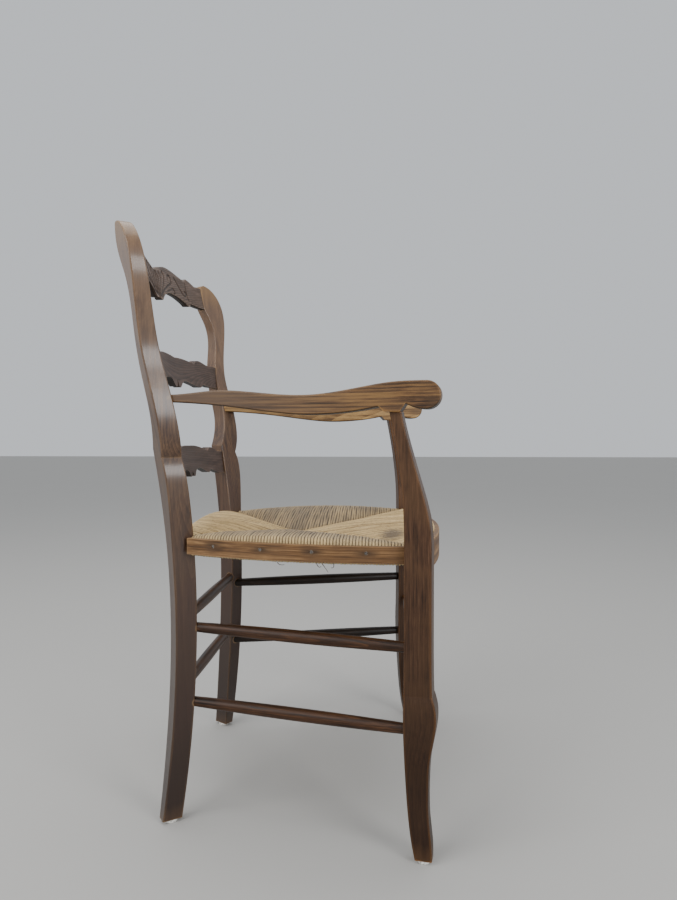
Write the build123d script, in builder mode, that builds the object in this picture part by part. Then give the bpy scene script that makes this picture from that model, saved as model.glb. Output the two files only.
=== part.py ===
import os
from math import asin, atan2, cos, hypot, radians, sin

from build123d import *

# Rush seat armchair. +Z is up, the sitter faces -Y and has the right arm at -X.
# The origin is on the floor, under the middle of the chair. Sizes are in millimetres.

# Fits
joint_gap = 0.15        # around a tenon, dowel or nail in its hole
shoulder_gap = 0.2      # between a shoulder and the face that it meets

# Feet
glide_radius = 10.5
glide_height = 5.0
glide_edge = 1.5
glide_nail_radius = 1.1
glide_nail_length = 17.0
glide_nail_cover = 2.0  # plastic under the nail

# Rear posts: each is sawn from a plank to two outlines, one seen from its side, one from its front.
# An edge is a list of curves through (height, offset from the post's own middle line). Its upper part is
# given as a share of the way from a crease or bend to the top.
post_x = 180.0
post_y = 150.3
post_turn = radians(34.0)
post_top = 944.0
post_round = 2.0
long_edge = 52.0                # edges of a post or leg longer than this are rounded
sawn_reach = 400.0              # more than the width of a whole post or leg
post_bend = 433.0
post_inner_crease = 597.0
post_outer_crease = 583.0


def to_top(low, upper):
    # points of an outline from its share of the way between a low height and the post's top
    return [(low + share * (post_top - low), offset) for share, offset in upper]


post_front_edge = [
    [(glide_height, 6), (120, -8), (309, -17.5)]
    + to_top(post_bend, [(0, -13), (0.2407, 4), (0.4834, 29), (0.7241, 56), (1, 84)])
]
post_back_edge = [
    [(glide_height, 38), (120, 25), (309, 17.5)]
    + to_top(post_bend, [(0, 23.5), (0.2407, 38), (0.4834, 60), (0.7241, 83), (1, 104)])
]
post_inner_edge = [
    [(glide_height, -12), (120, -16), (309, -15), (433, -13), (540, -15), (post_inner_crease, -16)],
    to_top(post_inner_crease, [(0, -16), (0.0605, -6), (0.1527, 2), (0.3285, -2), (0.5072, 2), (0.6715, 13),
                               (0.7522, 9), (0.83, -4), (0.9885, -9)]),
]
post_outer_edge = [
    [(glide_height, 8), (93, 11), (309, 14.5), (402, 16), (464, 20), (525, 27), (556, 28),
     (post_outer_crease, 22)],
    to_top(post_outer_crease, [(0, 22), (0.0803, 33), (0.1717, 36), (0.2964, 32), (0.4404, 25), (0.5734, 31),
                               (0.6953, 42), (0.7895, 48), (0.892, 44), (0.9668, 26), (1, 0)]),
]

# Front legs: sawn like the posts, and carried up above the seat as the supports of the arms.
leg_x = 268.0
leg_y = -221.7
leg_turn = radians(10.0)
leg_top = 651.5
leg_round = 2.0
leg_front_edge = [
    [(glide_height, -21), (30, -20), (62, -16), (107, -15), (153, -18), (206, -27), (243, -21)],
    [(243, -21), (330, -20), (430, -20), (490, -17.5), (543, -4.5), (600, 12), (leg_top, 24.5)],
]
leg_back_edge = [[
    (glide_height, 4), (62, 14), (107, 18), (153, 20), (300, 20), (430, 20), (505, 21), (565, 27),
    (leg_top, 42),
]]
leg_inner_edge = [[
    (glide_height, -6), (62, -14), (107, -17), (160, -18), (300, -18), (430, -18), (560, -15),
    (leg_top, -14),
]]
leg_outer_edge = [
    [(glide_height, 16), (30, 15), (62, 12), (107, 10), (153, 14), (206, 21), (243, 18)],
    [(243, 18), (330, 18), (430, 18), (560, 15), (leg_top, 14)],
]
leg_tenon = (9.0, 16.0, 20.0)   # along the arm, across it, and up into it

# Arms: a wavy side outline, as (share of the way from post to support, height above the support's top).
arm_top_wave = [(0.0, 29), (0.22, 34.5), (0.47, 28.5), (0.63, 26), (0.78, 31.5), (0.94, 41)]
arm_under_wave = [(0.0, 17.5), (0.12, 15.0), (0.25, 10.7), (0.5, -0.3), (0.62, -3.5), (0.75, -2.0),
                  (0.87, 3.0)]
arm_block = (-16.0, 7.0)        # flat block over the support, from back to front of its middle
arm_notch = 7.5                 # rise at the back of the block
arm_apex = (15.0, 11.5)         # point of the notch in front of the block
arm_knob_radius = 20.5
arm_knob_reach = 45.0           # knob's centre, in front of the support
arm_knob_height = 24.0
arm_rear_width = 19.0
arm_front_width = 34.0
arm_rear_share = 0.58           # across the post's front face, from its inner edge
arm_overhang = 3.0              # arm's middle line, outside the support's
arm_round = 2.5
arm_long_edge = 39.0            # edges of an arm longer than this are rounded
arm_slim_share = 0.3            # slim part of an arm, as a share of the way to its support
arm_broad_share = 0.85          # start of its broad part
arm_knob_sweep = 0.6            # slope of the knob's underside at the notch
arm_tenon_radius = 4.5
arm_tenon_length = 15.0
arm_peg_radius = 2.5
arm_peg_length = 27.0
arm_peg_depth = 8.0             # peg's axis, behind the post's front face

# Slats of the back: curved boards let into the posts. An outline is a list of curves for half the slat,
# through (distance from the chair's middle, height above the underside of the slat's end).
slat_thickness = 13.0
slat_housing = 9.0              # part of a slat's end inside the post
slat_set_back = 0.08            # front of the slat, as a share of the post's depth
crest_height = post_top - 54.0
crest_bow = 32.0
crest_end = 45.0
crest_top = [[(0, 38), (12, 42), (29, 47), (58, 55), (116, 54), (154, 47)], [(154, 47), (163, 54)],
             [(163, 54), (178, 51), (195, crest_end)]]
crest_under = [[(0, -3), (6, -16)], [(6, -16), (13, -18), (25, -11), (50, 2), (85, 6), (119, 3), (142, -3)],
               [(142, -3), (151, -6), (160, 1.5)], [(160, 1.5), (195, 0)]]
middle_height = 719.0
middle_bow = 27.0
middle_end = 45.0
middle_top = [[(0, 44), (46, 46), (69, 45.5), (92, 44), (108, 42)], [(108, 42), (118, 49)],
              [(118, 49), (130, 51), (153, 48), (181, middle_end)]]
middle_under = [[(0, 4), (6, -9)], [(6, -9), (14, -11), (22, -7), (36, 1.5), (71, 2), (100, -1), (119, -4)],
                [(119, -4), (128, -3), (138, 3.5)], [(138, 3.5), (171, 0)]]
lower_height = 541.0
lower_bow = 20.0
lower_end = 44.0
lower_top = [[(0, 57), (43, 57), (75, 53), (106, 47)], [(106, 47), (115, 53)],
             [(115, 53), (125, 53), (150, lower_end)]]
lower_under = [[(0, 12), (7, 2)], [(7, 2), (14, 1), (22, 8), (38, 14.5), (70, 10), (92, 4)],
               [(92, 4), (100, 4.5), (106, 10)], [(106, 10), (150, 0)]]

# Seat
seat_top = 464.0                # rim of the rush
seat_dip = 23.0                 # middle of the rush, below its rim
rush_below = 4.0                # rush under the rails
rush_round = 9.0
rush_wrap = 4.0                 # rush between a rail and its edge strip
rail_depth = 18.0
rail_height = 22.0
rail_below_top = 35.0           # underside of the rails, below the rim
rail_tenon_radius = 5.0
side_tenon_rise = 16.5          # middle of a side rail's tenons, above its underside
cross_tenon_rise = 5.5          # the same, for the front and rear rails
side_tenon_root = 0.08          # inner end of a side rail's tenon, as a share of its arc
front_tenon_root = 0.06         # the same, for the front rail
rear_tenon_root = 54.0          # inner end of a rear rail's tenon, from its tip
side_tenon_shift = 6.0          # tip of a side rail's tenon, inside the middle of the leg
rail_overrun = 0.04             # share of an arc past each end, trimmed by the posts and legs
front_rail_overrun = 0.01       # the same, for the front rail without its tenons
side_rail_end = 0.96            # the side rails stop short of the legs' back faces
rush_rear_inset = 10.5          # rear corner of the rush, from the middle of the post
strip_thickness = 8.0
strip_top_drop = 8.0            # top of the edge strips, below the rim
side_strip_height = 25.0
front_strip_height = 42.0
strip_rear = (-203.0, 138.3)    # ends of the right strip's outer face
strip_front = (-270.5, -204.7)
strip_bow = 20.0
front_strip_end = (250.0, -231.7)
front_strip_bow = 38.0
strip_nail_radius = 1.0
strip_nail_head_radius = 2.6
strip_nail_head = 1.2
strip_nail_sunk = 0.6
strip_nail_length = 26.0
side_nail_drop = 10.0           # nails below the top of their strip
front_nail_drop = 15.0
side_nail_shares = (0.14, 0.37, 0.60, 0.83)
front_nail_shares = (0.12, 0.31, 0.50, 0.69, 0.88)

# Stretchers: turned, thicker in the middle
stretcher_end_radius = 7.5
stretcher_mid_radius = 10.0
stretcher_stop = 3.0            # short of the middle of the post or leg
side_stretcher_inset = 16.0     # rear end of a side stretcher, inside the middle of the post
side_stretcher_short = 14.5     # and further forward than there
side_stretcher_heights = {"upper": 308.0, "lower": 188.0}
rear_stretcher_heights = {"upper": 321.0, "lower": 209.0}
front_stretcher_height = 262.0

up = Vector(0, 0, 1)
post_foot = Vector(-post_x, post_y, 0)
post_back = Vector(-sin(post_turn), cos(post_turn), 0)
post_out = Vector(-cos(post_turn), -sin(post_turn), 0)
leg_foot = Vector(-leg_x, leg_y, 0)
leg_back = Vector(sin(leg_turn), cos(leg_turn), 0)
leg_out = Vector(-cos(leg_turn), sin(leg_turn), 0)


def offset_at(edge, height):
    # offset of an outline's edge at a height, on straight lines between its points
    points = [point for curve in edge for point in curve]
    for (low, start), (high, end) in zip(points, points[1:]):
        if low <= height <= high and high > low:
            return start + (end - start) * (height - low) / (high - low)
    return points[-1][1]


def post_point(height, depth_share=0.5, width_share=0.5):
    # point of the right post: shares run from its front to its back face, and from inner to outer
    front, back = offset_at(post_front_edge, height), offset_at(post_back_edge, height)
    inner, outer = offset_at(post_inner_edge, height), offset_at(post_outer_edge, height)
    along = post_back * (front + (back - front) * depth_share)
    return post_foot + along + post_out * (inner + (outer - inner) * width_share) + up * height


def leg_point(height):
    # middle of the right front leg at a height
    depth = (offset_at(leg_front_edge, height) + offset_at(leg_back_edge, height)) / 2
    width = (offset_at(leg_inner_edge, height) + offset_at(leg_outer_edge, height)) / 2
    return leg_foot + leg_back * depth + leg_out * width + up * height


def other_side(point):
    return Vector(-point.X, point.Y, point.Z)


def edge_outline(plane, low_edge, high_edge, grow):
    # closed outline between two edges, each moved outwards by grow
    with BuildSketch(plane) as face:
        with BuildLine():
            for edge, side in ((low_edge, -grow), (high_edge, grow)):
                for curve in edge:
                    Spline([(offset + side, height) for height, offset in curve])
            for end in (0, -1):
                low_height, low_offset = low_edge[end][end]
                high_height, high_offset = high_edge[end][end]
                Line((low_offset - grow, low_height), (high_offset + grow, high_height))
        make_face()
    return face.sketch


def sawn_blank(foot, back, out, edges, grow=0.0, rounding=0.0):
    # a post or leg sawn to its side outline and then to its front outline
    front_edge, back_edge, inner_edge, outer_edge = edges
    side_plane = Plane(foot, x_dir=back, z_dir=back.cross(up)).offset(-sawn_reach / 2)
    front_plane = Plane(foot, x_dir=out, z_dir=out.cross(up)).offset(-sawn_reach / 2)
    with BuildPart() as blank:
        extrude(edge_outline(side_plane, front_edge, back_edge, grow), amount=sawn_reach)
        front = edge_outline(front_plane, inner_edge, outer_edge, grow)
        extrude(front, amount=sawn_reach, mode=Mode.INTERSECT)
        if rounding:
            fillet([edge for edge in blank.edges() if edge.length > long_edge], rounding)
    return blank.part


class PlanArc:
    # arc in plan from start to end, bulging by rise to the right of that direction
    def __init__(self, start, end, rise):
        run, climb = end[0] - start[0], end[1] - start[1]
        chord = hypot(run, climb)
        outward = (climb / chord, -run / chord)
        self.radius = (chord**2 / 4 + rise**2) / (2 * rise)
        self.centre = [(a + b) / 2 - o * (self.radius - rise) for a, b, o in zip(start, end, outward)]
        self.half_angle = asin(chord / 2 / self.radius)
        self.middle_angle = atan2(outward[1], outward[0])

    def outward(self, share):
        angle = self.middle_angle + self.half_angle * (2 * share - 1)
        return cos(angle), sin(angle)

    def point(self, share, out=0.0):
        return tuple(c + (self.radius + out) * o for c, o in zip(self.centre, self.outward(share)))


def arc_band(arc, shares, outs, plane):
    # flat band between two arcs with one centre
    with BuildSketch(plane) as band:
        with BuildLine():
            for out in outs:
                ThreePointArc(*[arc.point(share, out) for share in (shares[0], sum(shares) / 2, shares[1])])
            for share in shares:
                Line(arc.point(share, outs[0]), arc.point(share, outs[1]))
        make_face()
    return band.sketch


def dowel(start, end, radius, grow=0.0):
    # straight round pin
    axis = end - start
    with BuildPart() as pin:
        with BuildSketch(Plane(start, z_dir=axis)):
            Circle(radius + grow)
        extrude(amount=axis.length)
    return pin.part


post_edges = (post_front_edge, post_back_edge, post_inner_edge, post_outer_edge)
leg_edges = (leg_front_edge, leg_back_edge, leg_inner_edge, leg_outer_edge)
post_room = sawn_blank(post_foot, post_back, post_out, post_edges, grow=shoulder_gap)
leg_room = sawn_blank(leg_foot, leg_back, leg_out, leg_edges, grow=shoulder_gap)
with BuildPart() as frame_room:
    for room in (post_room, leg_room):
        add(room)
        mirror(room, about=Plane.YZ)

# Turned stretchers, between the middles of the posts and legs that they join
def stretcher(start, end, grow=0.0):
    axis = (end - start).normalized()
    first = start + axis * (stretcher_stop - grow)
    length = (end - start).length - 2 * (stretcher_stop - grow)
    side = axis.cross(up)
    with BuildPart() as turned:
        with BuildSketch(Plane(first, x_dir=side, z_dir=side.cross(axis))):
            with BuildLine():
                end_radius = stretcher_end_radius + grow
                Polyline((end_radius, 0), (0, 0), (0, length), (end_radius, length))
                ThreePointArc(
                    (end_radius, 0),
                    (stretcher_mid_radius + grow, length / 2),
                    (end_radius, length),
                )
            make_face()
        revolve(axis=Axis(first, axis))
    return turned.part


stretcher_ends = {}
for level, height in side_stretcher_heights.items():
    rear, front = post_point(height) - post_out * side_stretcher_inset, leg_point(height)
    ends = (rear + (front - rear).normalized() * side_stretcher_short, front)
    stretcher_ends[f"side_stretcher_{level}_right"] = ends
    stretcher_ends[f"side_stretcher_{level}_left"] = tuple(other_side(end) for end in ends)
for level, height in rear_stretcher_heights.items():
    stretcher_ends[f"rear_stretcher_{level}"] = (post_point(height), other_side(post_point(height)))
front_stretcher_end = leg_point(front_stretcher_height)
stretcher_ends["front_stretcher"] = (front_stretcher_end, other_side(front_stretcher_end))

pieces = {name: stretcher(*ends) for name, ends in stretcher_ends.items()}
stretcher_holes = [stretcher(*ends, grow=joint_gap) for ends in stretcher_ends.values()]

# Seat rails: bowed bars with round tenons, covered by the rush
rail_bottom = seat_top - rail_below_top
strip_top = seat_top - strip_top_drop
side_arc = PlanArc(strip_rear, strip_front, strip_bow)
front_arc = PlanArc((-front_strip_end[0], front_strip_end[1]), front_strip_end, front_strip_bow)
rail_out = -strip_thickness - rush_wrap
rail_middle = rail_out - rail_depth / 2
rail_plane = Plane.XY.offset(rail_bottom)
rear_half = post_point(rail_bottom).X
rear_middle_y = post_y


def bowed_bar(arc, shares, grow):
    # rail sawn to an arc
    with BuildPart() as bar:
        outs = (rail_out - rail_depth - grow, rail_out + grow)
        extrude(arc_band(arc, shares, outs, rail_plane.offset(-grow)), amount=rail_height + 2 * grow)
    return bar.part


def side_bar(grow=0.0):
    return bowed_bar(side_arc, (-rail_overrun, side_rail_end), grow)


def front_bar(grow=0.0):
    return bowed_bar(front_arc, (-front_rail_overrun, 1 + front_rail_overrun), grow)


def rear_bar(grow=0.0):
    with BuildPart() as bar:
        with BuildSketch(rail_plane.offset(-grow)):
            with Locations((0, rear_middle_y)):
                Rectangle(-2 * rear_half, rail_depth + 2 * grow)
        extrude(amount=rail_height + 2 * grow)
    return bar.part


def with_tenons(bar, tenons):
    with BuildPart() as rail:
        add(bar)
        add(frame_room.part, mode=Mode.SUBTRACT)
        for start, end in tenons:
            add(dowel(start, end, rail_tenon_radius))
    return rail.part


def arc_tenon(arc, inside, tip, rise):
    # ends of a tenon between two shares of a rail's middle line
    return [Vector(*arc.point(share, rail_middle), rail_bottom + rise) for share in (inside, tip)]


side_rear_tenon = arc_tenon(side_arc, side_tenon_root, -rail_overrun, side_tenon_rise)
side_front_tenon = arc_tenon(side_arc, 1 - side_tenon_root, 1, side_tenon_rise)
side_front_tenon[1] = leg_point(rail_bottom + side_tenon_rise) - leg_out * side_tenon_shift
side_tenons = [side_rear_tenon, side_front_tenon]
front_tenon = arc_tenon(front_arc, front_tenon_root, -rail_overrun, cross_tenon_rise)
front_tenons = [front_tenon, [other_side(end) for end in front_tenon]]
post_cross = post_point(rail_bottom + cross_tenon_rise)
rear_tip = Vector(post_cross.X, rear_middle_y, post_cross.Z)
rear_tenon = [rear_tip + Vector(rear_tenon_root, 0, 0), rear_tip]
rear_tenons = [rear_tenon, [other_side(end) for end in rear_tenon]]

pieces["seat_rail_right"] = with_tenons(side_bar(), side_tenons)
pieces["seat_rail_front"] = with_tenons(front_bar(), front_tenons)
pieces["seat_rail_rear"] = with_tenons(rear_bar(), rear_tenons)
seat_tenons = side_tenons + front_tenons + rear_tenons
seat_holes = [dowel(start, end, rail_tenon_radius, joint_gap) for start, end in seat_tenons]

# Edge strips and the nails that hold them
side_strip_plane = Plane.XY.offset(strip_top - side_strip_height)
front_strip_plane = Plane.XY.offset(strip_top - front_strip_height)


def strip_nails(arc, shares, height, grow=0.0):
    # nails driven square to a strip, with sunk heads
    with BuildPart() as nails:
        for share in shares:
            inward = Vector(*arc.outward(share), 0) * -1
            start = Vector(*arc.point(share, -strip_nail_sunk), height)
            with BuildSketch(Plane(start, z_dir=inward)):
                Circle(strip_nail_head_radius + grow)
            extrude(amount=strip_nail_head + grow)
            with BuildSketch(Plane(start, z_dir=inward)):
                Circle(strip_nail_radius + grow)
            extrude(amount=strip_nail_length + grow)
            if grow:
                with BuildSketch(Plane(start, z_dir=inward)):
                    Circle(strip_nail_head_radius + grow)
                extrude(amount=-strip_thickness)
    return nails.part


side_nail_height = strip_top - side_nail_drop
front_nail_height = strip_top - front_nail_drop
pieces["strip_nails_right"] = strip_nails(side_arc, side_nail_shares, side_nail_height)
pieces["strip_nails_front"] = strip_nails(front_arc, front_nail_shares, front_nail_height)
side_nail_holes = strip_nails(side_arc, side_nail_shares, side_nail_height, joint_gap)
front_nail_holes = strip_nails(front_arc, front_nail_shares, front_nail_height, joint_gap)
with BuildPart() as edge_strip_right:
    extrude(arc_band(side_arc, (0, 1), (-strip_thickness, 0), side_strip_plane), amount=side_strip_height)
    add(frame_room.part, mode=Mode.SUBTRACT)
    add(side_nail_holes, mode=Mode.SUBTRACT)
front_shares = (-rail_overrun / 2, 1 + rail_overrun / 2)
with BuildPart() as edge_strip_front:
    extrude(
        arc_band(front_arc, front_shares, (-strip_thickness, 0), front_strip_plane),
        amount=front_strip_height,
    )
    add(frame_room.part, mode=Mode.SUBTRACT)
    add(front_nail_holes, mode=Mode.SUBTRACT)
pieces["edge_strip_right"] = edge_strip_right.part
pieces["edge_strip_front"] = edge_strip_front.part
for name in ("seat_rail_right", "seat_rail_front"):
    with BuildPart() as nailed_rail:
        add(pieces[name])
        add(side_nail_holes, mode=Mode.SUBTRACT)
        add(front_nail_holes, mode=Mode.SUBTRACT)
    pieces[name] = nailed_rail.part

# Room for the rails, their tenons and the nails inside the rush
with BuildPart() as rail_room:
    add(front_bar(shoulder_gap))
    add(rear_bar(shoulder_gap))
    add(front_nail_holes)
    for right_side in [side_bar(shoulder_gap), side_nail_holes] + seat_holes:
        add(right_side)
        mirror(right_side, about=Plane.YZ)

# Rush: a padded sheet wound over the rails, dished to the middle along its four seams
rush_out = -strip_thickness - shoulder_gap
rush_bottom = rail_bottom - rush_below
rush_rear_y = rear_middle_y + rail_depth / 2 + rush_wrap
rush_rear_x = -post_point(seat_top).X - rush_rear_inset
with BuildPart() as rush_seat:
    with BuildSketch(Plane.XY.offset(rush_bottom)):
        with BuildLine():
            side_points = [side_arc.point(share, rush_out) for share in (0, 0.5, 1)]
            front_points = [front_arc.point(share, rush_out) for share in (0, 0.5, 1)]
            ThreePointArc(*side_points)
            ThreePointArc(*[(-x, y) for x, y in side_points])
            ThreePointArc(*front_points)
            rear_x, rear_y = side_points[0]
            corner_x, corner_y = side_points[2]
            front_x, front_y = front_points[0]
            for side in (-1, 1):
                Line((side * corner_x, corner_y), (side * front_x, front_y))
                Line((side * rear_x, rear_y), (-side * rush_rear_x, rush_rear_y))
            Line((-rush_rear_x, rush_rear_y), (rush_rear_x, rush_rear_y))
        make_face()
    extrude(amount=seat_top - rush_bottom)
    fillet(rush_seat.faces().sort_by(Axis.Z)[-1].edges(), rush_round)
    rim_rear, rim_front = rush_rear_y - rail_depth, front_points[0][1] + rail_depth / 2
    with BuildSketch(Plane.XY.offset(seat_top)):
        with BuildLine():
            Polyline(
                (-rush_rear_x, rim_rear), (rush_rear_x, rim_rear),
                (-corner_x - rail_depth, rim_front), (corner_x + rail_depth, rim_front), close=True,
            )
        make_face()
    with BuildSketch(Plane.XY.offset(seat_top - seat_dip)):
        with Locations((0, (rim_rear + rim_front) / 2)):
            Rectangle(joint_gap, joint_gap)
    loft(ruled=True, mode=Mode.SUBTRACT)
    add(frame_room.part, mode=Mode.SUBTRACT)
    add(rail_room.part, mode=Mode.SUBTRACT)
pieces["rush_seat"] = rush_seat.part


# Back slats: a curved board, leaning with the posts, cut to its outline
def half_outline(curves, mirrored, base):
    side = -1 if mirrored else 1
    for curve in curves:
        points = [(side * across, base + rise) for across, rise in curve]
        if len(points) == 2:
            Line(*points)
        else:
            Spline(points)


def slat_arc(height, end_height, bow):
    # plan arc of a slat's front face, level with the middle of its ends
    seat = post_point(height + end_height / 2, slat_set_back, 0)
    return PlanArc((-seat.X, seat.Y), (seat.X, seat.Y), bow)


def slat_lean(height, end_height):
    # how far the posts lean back for each millimetre of height, beside a slat
    foot, head = [post_point(level, slat_set_back, 0) for level in (height, height + end_height)]
    return (head.Y - foot.Y) / end_height


def slat_board(height, end_height, bow, spread, grow=0.0):
    # the curved and leaning board, from spread below to spread above the slat's ends
    arc, lean = slat_arc(height, end_height, bow), slat_lean(height, end_height)
    extra = (slat_housing + grow) / (2 * arc.radius * arc.half_angle)
    rise = end_height / 2 + spread
    level = Plane((0, -lean * rise, height + end_height / 2 - rise))
    with BuildPart() as board:
        band = arc_band(arc, (-extra, 1 + extra), (-grow, slat_thickness + grow), level)
        extrude(band, amount=2 * rise * hypot(1, lean), dir=(0, lean, 1))
    return board.part


def slat(height, end_height, bow, top, under):
    end_x = slat_arc(height, end_height, bow).point(1)[0] - 2 * slat_housing
    top_end, under_end = top[-1][-1], under[-1][-1]
    with BuildPart() as piece:
        add(slat_board(height, end_height, bow, end_height))
        with BuildSketch(Plane.XZ.offset(-2 * post_x)):
            with BuildLine():
                for mirrored in (False, True):
                    half_outline(top, mirrored, height)
                    half_outline(under, mirrored, height)
                    end = end_x if mirrored else -end_x
                    side = -1 if mirrored else 1
                    Polyline(
                        (side * top_end[0], height + top_end[1]), (end, height + end_height),
                        (end, height), (side * under_end[0], height + under_end[1]),
                    )
            make_face()
        extrude(amount=4 * post_x, mode=Mode.INTERSECT)
    return piece.part


slats = {
    "crest_slat": (crest_height, crest_end, crest_bow, crest_top, crest_under),
    "middle_slat": (middle_height, middle_end, middle_bow, middle_top, middle_under),
    "lower_slat": (lower_height, lower_end, lower_bow, lower_top, lower_under),
}
slat_mortises = []
for name, (height, end_height, bow, top, under) in slats.items():
    pieces[name] = slat(height, end_height, bow, top, under)
    slat_mortises.append(slat_board(height, end_height, bow, joint_gap, joint_gap))

# Arms: sawn to a wavy side outline, then tapered in plan
arm_end_height = leg_top + (arm_top_wave[0][1] + arm_under_wave[0][1]) / 2
arm_rear = post_point(arm_end_height, 0, arm_rear_share)
arm_support = leg_point(leg_top) + leg_out * arm_overhang
arm_run = Vector(arm_support.X - arm_rear.X, arm_support.Y - arm_rear.Y, 0)
arm_length = arm_run.length
arm_forward = arm_run.normalized()
arm_start = -arm_tenon_length
knob_x = arm_length + arm_knob_reach
knob_z = leg_top + arm_knob_height
arm_foot = Vector(arm_rear.X, arm_rear.Y, 0)
arm_side = arm_forward.cross(up)
with BuildPart() as arm_blank:
    with BuildSketch(Plane(arm_foot, x_dir=arm_forward, z_dir=arm_side).offset(-arm_front_width)):
        with BuildLine():
            top = [(share * arm_length, leg_top + rise) for share, rise in arm_top_wave]
            under = [(share * arm_length, leg_top + rise) for share, rise in arm_under_wave]
            knob_top, knob_under = (knob_x, knob_z + arm_knob_radius), (knob_x, knob_z - arm_knob_radius)
            apex = (arm_length + arm_apex[0], leg_top + arm_apex[1])
            Line((arm_start, top[0][1]), top[0])
            Spline(top + [knob_top], tangents=[(1, 0), (1, 0)])
            ThreePointArc(knob_top, (knob_x + arm_knob_radius, knob_z), knob_under)
            Spline([knob_under, apex], tangents=[(-1, 0), (-1, arm_knob_sweep)])
            Polyline(
                apex, (arm_length + arm_block[1], leg_top), (arm_length + arm_block[0], leg_top),
                (arm_length + arm_block[0] - arm_notch, leg_top + arm_notch),
            )
            Spline([(arm_length + arm_block[0] - arm_notch, leg_top + arm_notch)] + under[::-1])
            Polyline(under[0], (arm_start, under[0][1]), (arm_start, top[0][1]))
        make_face()
    extrude(amount=2 * arm_front_width)
    with BuildSketch(Plane(arm_foot + up * (leg_top - arm_front_width), x_dir=arm_forward, z_dir=up)):
        with BuildLine():
            tip = knob_x + 2 * arm_knob_radius
            for side in (-0.5, 0.5):
                Spline([
                    (arm_start, side * arm_rear_width),
                    (arm_length * arm_slim_share, side * arm_rear_width),
                    (arm_length * arm_broad_share, side * arm_front_width),
                    (tip, side * arm_front_width),
                ])
            for end, width in ((arm_start, arm_rear_width), (tip, arm_front_width)):
                Line((end, -width / 2), (end, width / 2))
        make_face()
    extrude(amount=3 * arm_front_width, mode=Mode.INTERSECT)
    fillet([edge for edge in arm_blank.edges() if edge.length > arm_long_edge], arm_round)

arm_tenon_ends = (arm_rear + arm_forward * arm_rear_width / 2, arm_rear - arm_forward * arm_tenon_length)
peg_inside = arm_rear - arm_forward * arm_peg_depth
peg_out = offset_at(post_outer_edge, arm_end_height) - (peg_inside - post_foot).dot(post_out)
peg_start = peg_inside + post_out * peg_out
peg_ends = (peg_start, peg_start - post_out * arm_peg_length)
leg_tenon_plane = Plane(leg_point(leg_top), x_dir=leg_back, z_dir=up)


def leg_tenon_block(grow):
    with BuildPart() as block:
        with BuildSketch(leg_tenon_plane):
            Rectangle(leg_tenon[0] + 2 * grow, leg_tenon[1] + 2 * grow)
        extrude(amount=leg_tenon[2] + grow)
    return block.part


with BuildPart() as arm_right:
    add(arm_blank.part)
    add(post_room, mode=Mode.SUBTRACT)
    add(dowel(*arm_tenon_ends, arm_tenon_radius))
    add(dowel(*peg_ends, arm_peg_radius, joint_gap), mode=Mode.SUBTRACT)
    add(leg_tenon_block(joint_gap), mode=Mode.SUBTRACT)
pieces["arm_right"] = arm_right.part
arm_peg = dowel(*peg_ends, arm_peg_radius)
with BuildPart() as arm_pegs:
    add(arm_peg)
    mirror(arm_peg, about=Plane.YZ)
pieces["arm_pegs"] = arm_pegs.part

# Glides under the feet, each with its nail
glide_places = {"rear": post_point(glide_height), "front": leg_point(glide_height)}


def glide_nail(place, grow=0.0):
    start = Vector(place.X, place.Y, glide_nail_cover - grow)
    return dowel(start, start + up * (glide_nail_length + 2 * grow), glide_nail_radius, grow)


for end, place in glide_places.items():
    with BuildPart() as glide:
        with BuildSketch(Plane((place.X, place.Y, 0))):
            Circle(glide_radius)
        extrude(amount=glide_height)
        fillet(glide.edges().sort_by(Axis.Z)[0], glide_edge)
        add(glide_nail(place, joint_gap), mode=Mode.SUBTRACT)
    pieces[f"glide_{end}_right"] = glide.part
with BuildPart() as glide_nails:
    for place in glide_places.values():
        add(glide_nail(place))
        add(glide_nail(other_side(place)))
pieces["glide_nails"] = glide_nails.part

# Front leg and rear post, with their mortises
with BuildPart() as front_leg_right:
    add(sawn_blank(leg_foot, leg_back, leg_out, leg_edges, rounding=leg_round))
    add(leg_tenon_block(0))
    for hole in stretcher_holes + seat_holes:
        add(hole, mode=Mode.SUBTRACT)
    add(glide_nail(glide_places["front"], joint_gap), mode=Mode.SUBTRACT)
pieces["front_leg_right"] = front_leg_right.part
with BuildPart() as rear_post_right:
    add(sawn_blank(post_foot, post_back, post_out, post_edges, rounding=post_round))
    for hole in stretcher_holes + seat_holes + slat_mortises:
        add(hole, mode=Mode.SUBTRACT)
    add(dowel(*arm_tenon_ends, arm_tenon_radius, joint_gap), mode=Mode.SUBTRACT)
    add(dowel(*peg_ends, arm_peg_radius, joint_gap), mode=Mode.SUBTRACT)
    add(glide_nail(glide_places["rear"], joint_gap), mode=Mode.SUBTRACT)
pieces["rear_post_right"] = rear_post_right.part

# The left side mirrors the right
for name in [name for name in pieces if name.endswith("_right") and "stretcher" not in name]:
    with BuildPart() as left_piece:
        mirror(pieces[name], about=Plane.YZ)
    pieces[name.replace("_right", "_left")] = left_piece.part

os.makedirs("parts", exist_ok=True)
for name, piece in pieces.items():
    piece.label = name
    export_step(piece, f"parts/{name}.step")
    print(name, len(piece.solids()), round(piece.volume))
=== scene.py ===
import math

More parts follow.
